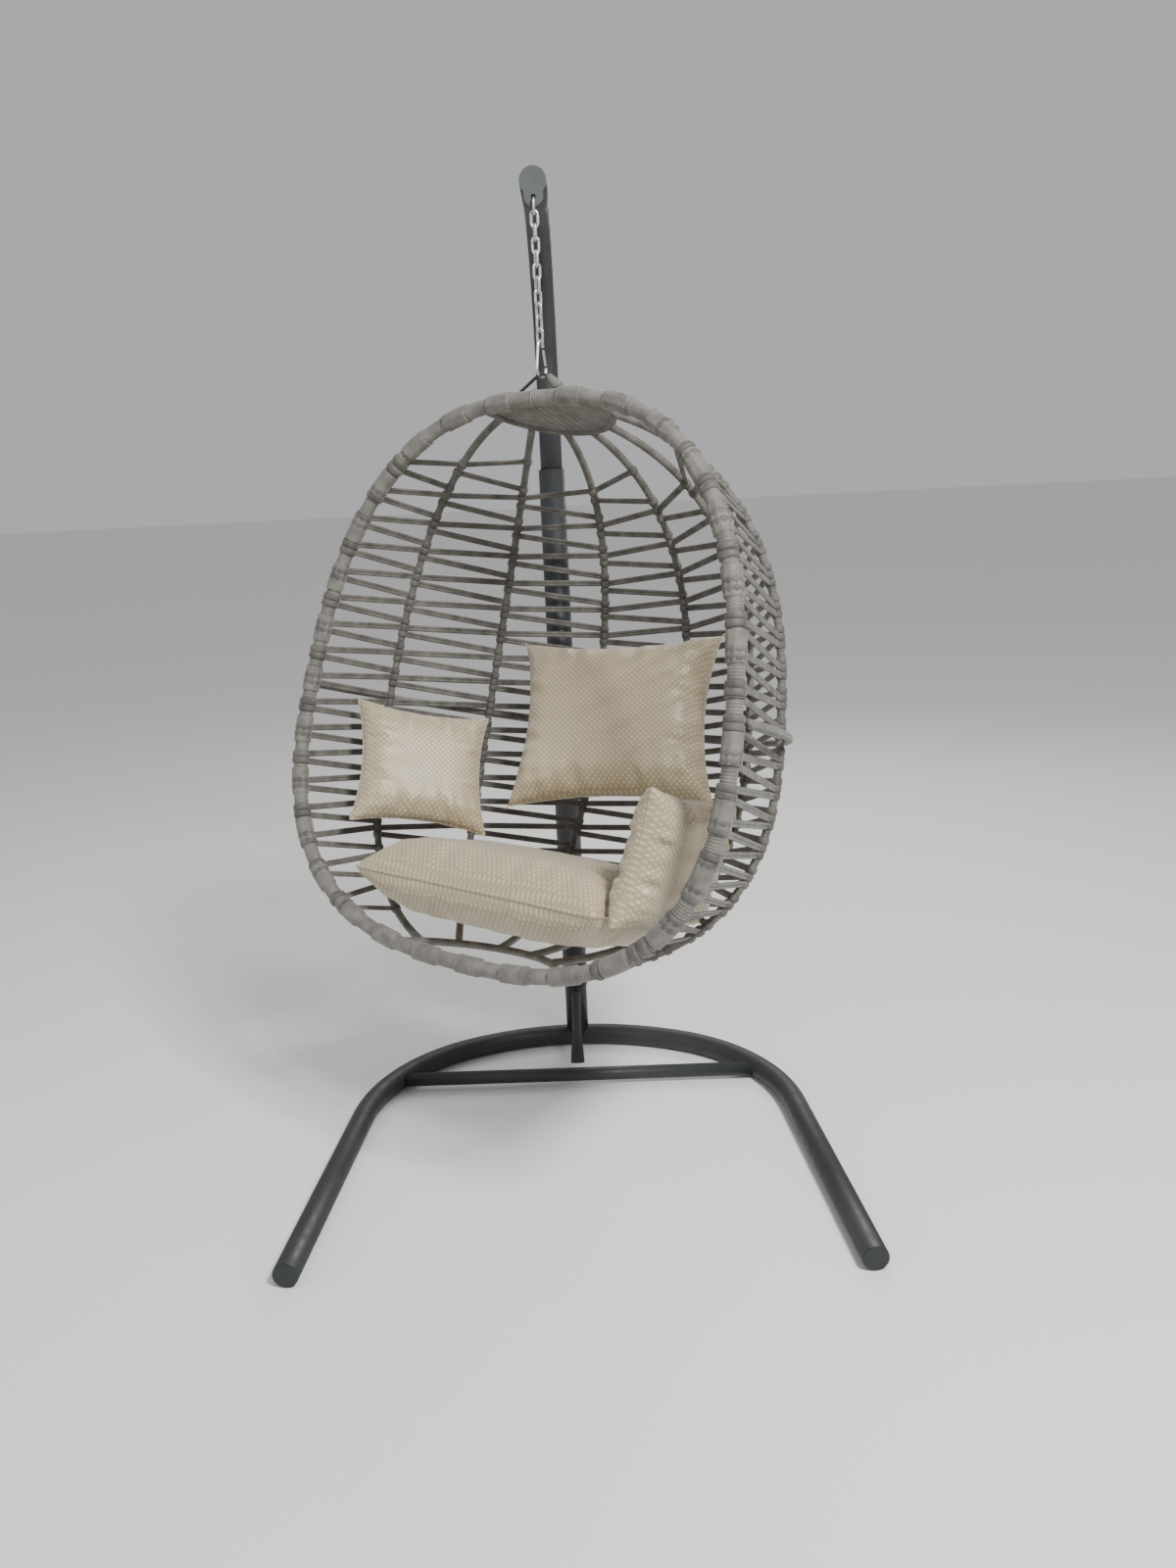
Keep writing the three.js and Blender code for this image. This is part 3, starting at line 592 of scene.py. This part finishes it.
def weave(index, look, dark):
    """The lacing of one bay between two ribs: a level strand and a slanted one in each turn."""
    edges = [0, *RIB_AZIMUTHS, math.pi]
    start, end = edges[index], edges[index + 1]
    lowest = -RIM_HALF_HEIGHT * WEAVE_LEVEL
    rows = int(-2 * lowest // CORD_PITCH)
    strands, knots = [], []
    for i in range(rows):
        z = lowest + (index % 2) * CORD_PITCH / 2 + i * CORD_PITCH
        for low, high in ((z, z), (z + CORD_PITCH - CORD_TURN, z + CORD_TURN)):
            levels = low / RIM_HALF_HEIGHT, high / RIM_HALF_HEIGHT
            strands.append(strand(shell(start, levels[0]), shell(end, levels[1]),
                                  (start + end) / 2))
            knots.append(knot(start, levels[0]))
            knots.append(knot(end, levels[1]))
    cord = joined(f"lacing_{index + 1}", strands)
    into_egg(cord)
    finish_piece(cord, look, "cord_taupe", "chair", f"weave_{index + 1}")
    ties = joined(f"lacing_{index + 1}_ties", knots)
    into_egg(ties)
    finish_piece(ties, dark, "cord_taupe", "chair")


def crown(look):
    """Strands side by side over the crown, from the rim back to the crown bar."""
    strands = []
    for share in np.linspace(-0.92, 0.92, CROWN_CORDS):
        rear = shell(math.pi / 2 - share * CROWN_FAN, CROWN_LEVEL)
        front = np.array((rear[0] * 0.97, 0, RIM_HALF_HEIGHT * (1 - 0.006 * share ** 2)))
        path = [front, (front + rear) / 2, rear]
        strands.append(skin(rings_along(path, strand_outline(), (0, 0, 1))))
    piece = joined("crown_cords", strands)
    into_egg(piece)
    finish_piece(piece, look, "cord_taupe", "chair", "canopy")


# ---- cushions -----------------------------------------------------------------------------


def folds(inwards, along):
    """Puckers that run in from the two edges where `inwards` is 1 or -1."""
    near = np.exp(-((1 - np.abs(inwards)) / PUCKER_REACH) ** 2)
    fade = (1 - inwards ** 8) * (1 - along ** 6)
    side = np.sign(inwards)
    waves = (0.6 * np.sin(17 * along + 2.1 * np.sin(5 * along) + side)
             + 0.4 * np.sin(31 * along + 3 * inwards + 2 * side))
    return PUCKER_HEIGHT * near * fade * waves


def cushion_sheets(size, pull):
    """The upper and lower sides of a cushion, as two grids of points with one edge in common."""
    wide, high, thick = size
    rail = np.sin(np.linspace(-math.pi / 2, math.pi / 2, 111))
    u, v = np.meshgrid(rail, rail, indexing="ij")
    x = wide / 2 * u * (1 - pull * (1 - v ** 2) * np.abs(u))
    y = high / 2 * v * (1 - pull * (1 - u ** 2) * np.abs(v))
    rise = (thick / 2 - PUCKER_ROOM) * ((1 - u ** 4) * (1 - v ** 4)) ** 0.42
    puckers = folds(u, v) + folds(v, u)
    upper = np.stack([x, y, rise + puckers], axis=-1)
    lower = np.stack([x, y, -rise - 0.7 * puckers], axis=-1)
    return upper, lower


def sewn_together(name, sheets):
    """One closed piece from two grids of points that meet at their edges."""
    count = len(sheets[0])
    points = [point for sheet in sheets for point in sheet.reshape(-1, 3)]
    faces = []
    for layer in (0, count * count):
        for i in range(count - 1):
            for j in range(count - 1):
                a = layer + i * count + j
                faces.append((a, a + count, a + count + 1, a + 1))
    piece = mesh_piece(name, points, faces)
    weld(piece)
    return piece


def edge_points(sheet):
    """The points round the edge of a grid, in order."""
    return [*sheet[:, 0], *sheet[-1, 1:], *sheet[-2::-1, -1], *sheet[0, -2:0:-1]]


def cushion(name, size, place, turns, look, pull, seam_radius=SEAM):
    """A crowned cushion whose sides pull in between pointed corners, with a seam round it.

    size is wide, high and thick in its own axes; turns are in degrees about x, y and z;
    pull is how far a side draws in at its middle, as a share of the half size.
    """
    sheets = cushion_sheets(size, pull)
    piece = sewn_together(name, sheets)
    rotation = (Matrix.Rotation(math.radians(turns[2]), 4, "Z")
                @ Matrix.Rotation(math.radians(turns[1]), 4, "Y")
                @ Matrix.Rotation(math.radians(turns[0]), 4, "X"))
    piece.matrix_world = EGG @ Matrix.Translation(place) @ rotation
    inflate(piece, AIR_TRAVEL)
    finish_piece(piece, look, "satin_cream", "chair", name.replace("_pillow", ""))
    edge = on_surface(piece, edge_points(sheets[0]))
    seam = tube(f"{name}_piping", resample([*edge, edge[0]], 0.004)[:-1], seam_radius, 8,
                (0, 0, 1), True)
    seam.matrix_world = piece.matrix_world
    finish_piece(seam, look, "satin_cream", "chair")


def on_surface(piece, points):
    """The nearest point of a piece's surface to each point, in the piece's own frame."""
    data = piece.data
    tree = BVHTree.FromPolygons([v.co for v in data.vertices],
                                [face.vertices for face in data.polygons])
    return [tree.find_nearest(point)[0] for point in points]


def shown_mesh(piece):
    depsgraph = bpy.context.evaluated_depsgraph_get()
    return bpy.data.meshes.new_from_object(piece.evaluated_get(depsgraph))


def mesh_points(data):
    flat = np.empty(len(data.vertices) * 3)
    data.vertices.foreach_get("co", flat)
    return flat.reshape(-1, 3)


def inflate(piece, cap):
    """Fills a cushion with air as cloth, keeping every point within `cap` of where it began."""
    remesh = piece.modifiers.new("even_mesh", "REMESH")
    remesh.mode = "VOXEL"
    remesh.voxel_size = CLOTH_MESH
    even = shown_mesh(piece)
    piece.modifiers.clear()
    piece.data = even
    start = mesh_points(even)
    air = piece.modifiers.new("air", "CLOTH")
    air.settings.use_pressure = True
    air.settings.uniform_pressure_force = 4
    air.settings.effector_weights.gravity = 0
    air.point_cache.frame_end = AIR_FRAMES
    for step in range(1, AIR_FRAMES + 1):
        bpy.context.scene.frame_set(step)
    blown = mesh_points(shown_mesh(piece))
    piece.modifiers.clear()
    bpy.context.scene.frame_set(1)
    travel = blown - start
    length = np.linalg.norm(travel, axis=1, keepdims=True)
    travel *= np.minimum(1, cap / np.maximum(length, 1e-9))
    even.vertices.foreach_set("co", (start + travel).ravel())
    even.polygons.foreach_set("use_smooth", [True] * len(even.polygons))
    even.update()


def weld(piece):
    """Joins points that lie on one another, and turns the faces outwards."""
    edit = bmesh.new()
    edit.from_mesh(piece.data)
    bmesh.ops.remove_doubles(edit, verts=edit.verts, dist=1e-5)
    bmesh.ops.recalc_face_normals(edit, faces=edit.faces)
    edit.to_mesh(piece.data)
    edit.free()


def cushions(look):
    """The seat, the back and the two arm cushions, placed in the basket's frame."""
    cushion("seat_cushion_pillow", (0.600, 0.385, 0.160), (-0.010, 0.192, -0.396),
            (0, 0, 0), look, 0.03, PIPING)
    cushion("back_cushion_pillow", (0.450, 0.390, 0.135), (0.012, 0.390, -0.030),
            (72, -8, 18), look, 0.12)
    cushion("arm_cushion_left_pillow", (0.305, 0.285, 0.095), (-0.326, 0.180, -0.182),
            (68, 0, 55), look, 0.12)
    cushion("arm_cushion_right_pillow", (0.325, 0.265, 0.095), (0.332, 0.165, -0.285),
            (100, 0, 92), look, 0.10)


# ---- the CAD nodes that stay --------------------------------------------------------------


def repaint(nodes, look):
    """Gives CAD nodes a material; their shapes stay as they are."""
    for node in nodes:
        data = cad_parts[node].data
        data.materials.clear()
        data.materials.append(look)


def main():
    camera()
    studio()
    coat = powder_coat("powder_black", (0.022, 0.024, 0.026))
    plate = powder_coat("plate_grey_green", (0.055, 0.065, 0.058))
    zinc = galvanised("zinc")
    taupe = cord_look("cord_taupe", (0.062, 0.056, 0.049), (0.15, 0.137, 0.12))
    pale = cord_look("cord_pale", (0.105, 0.098, 0.086), (0.20, 0.188, 0.166))
    knots = cord_look("cord_knots", (0.052, 0.047, 0.041), (0.125, 0.114, 0.10))
    stand(coat)
    repaint(["rim_tube", "hanger", "brace"], coat)
    repaint(["end_plate"], plate)
    repaint(["end_cap_left", "end_cap_right", "pole_bush"], plastic("cap", (0.014, 0.02, 0.018)))
    repaint(["pole_bolt", "pole_nut", "hook_body", "hook_gate"], zinc)
    for index in range(11):
        link_piece(index, zinc)
    rim_wraps(pale)
    basket_rods(taupe, pale)
    for index in range(len(RIB_AZIMUTHS) + 1):
        weave(index, taupe, knots)
    crown(pale)
    hanger_sleeve(pale)
    cushions(satin("satin_cream"))


main()
